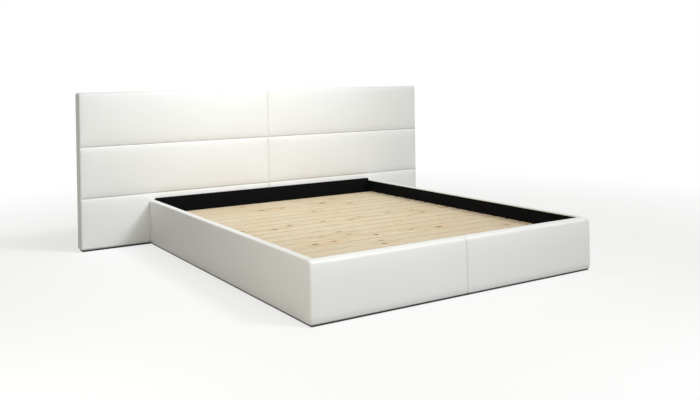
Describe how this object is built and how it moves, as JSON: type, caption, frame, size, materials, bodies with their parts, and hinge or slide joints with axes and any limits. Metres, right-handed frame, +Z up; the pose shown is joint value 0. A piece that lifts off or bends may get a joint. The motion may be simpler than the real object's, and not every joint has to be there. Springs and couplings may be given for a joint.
{
  "type": "upholstered bed",
  "caption": "Low upholstered platform bed with a wide panelled headboard, padded rails, a dark lined mattress well and loose pine slats.",
  "frame": {"origin": "middle of the bounding box's footprint, on the floor", "axes": "+X across the bed to the right as seen from the foot, +Y from the foot to the wall behind the headboard, +Z up"},
  "size_m": [2.55, 2.1482, 0.97],
  "materials": {
    "leatherette": "satin",
    "black_lining": "matte",
    "backing_cloth": "matte",
    "pine": "matte",
    "sawn_pine": "matte",
    "chipboard": "matte",
    "black_plastic": "satin",
    "zinc_steel": "satin",
    "tape": "matte"
  },
  "bodies": {
    "bed_frame": {"base_strip_foot": "black_plastic", "base_strip_headboard": "black_plastic", "base_strip_left": "black_plastic", "base_strip_right": "black_plastic", "beam_hangers": "zinc_steel", "centre_beam": "sawn_pine", "corner_bolts": "zinc_steel", "corner_brackets": "zinc_steel", "foot_rail_board": "chipboard", "foot_rail_lining": "black_lining", "foot_rail_pad_left": "leatherette", "foot_rail_pad_right": "leatherette", "head_rail_board": "chipboard", "head_rail_lining_left": "black_lining", "head_rail_lining_right": "black_lining", "headboard_backing_left": "backing_cloth", "headboard_backing_right": "backing_cloth", "headboard_bolts": "zinc_steel", "headboard_border_left": "leatherette", "headboard_border_right": "leatherette", "headboard_joining_plates": "zinc_steel", "headboard_pad_bottom_left": "leatherette", "headboard_pad_bottom_right": "leatherette", "headboard_pad_middle_left": "leatherette", "headboard_pad_middle_right": "leatherette", "headboard_pad_top_left": "leatherette", "headboard_pad_top_right": "leatherette", "headboard_panel_left": "chipboard", "headboard_panel_right": "chipboard", "side_rail_board_left": "chipboard", "side_rail_board_right": "chipboard", "side_rail_lining_left": "black_lining", "side_rail_lining_right": "black_lining", "side_rail_pad_left": "leatherette", "side_rail_pad_right": "leatherette", "slat_ledge_left": "sawn_pine", "slat_ledge_right": "sawn_pine", "support_leg_foot": "zinc_steel", "support_leg_head": "zinc_steel"},
    "slat_deck": {"slat_01": "pine", "slat_02": "pine", "slat_03": "pine", "slat_04": "pine", "slat_05": "pine", "slat_06": "pine", "slat_07": "pine", "slat_08": "pine", "slat_09": "pine", "slat_10": "pine", "slat_11": "pine", "slat_12": "pine", "slat_13": "pine", "slat_14": "pine", "slat_15": "pine", "slat_16": "pine", "slat_17": "pine", "slat_18": "pine", "slat_tapes": "tape"},
    "head_foot": {"levelling_foot_head": "black_plastic"},
    "foot_foot": {"levelling_foot_foot": "black_plastic"}
  },
  "joints": [
    {"name": "slat_deck_lift", "type": "slide", "parent": "bed_frame", "child": "slat_deck", "axis": [0, 0, 1], "range_m": [0, 0.15]},
    {"name": "head_foot_screw", "type": "slide", "parent": "bed_frame", "child": "head_foot", "axis": [0, 0, -1], "range_m": [0, 0.012]},
    {"name": "foot_foot_screw", "type": "slide", "parent": "bed_frame", "child": "foot_foot", "axis": [0, 0, -1], "range_m": [0, 0.012]}
  ]
}
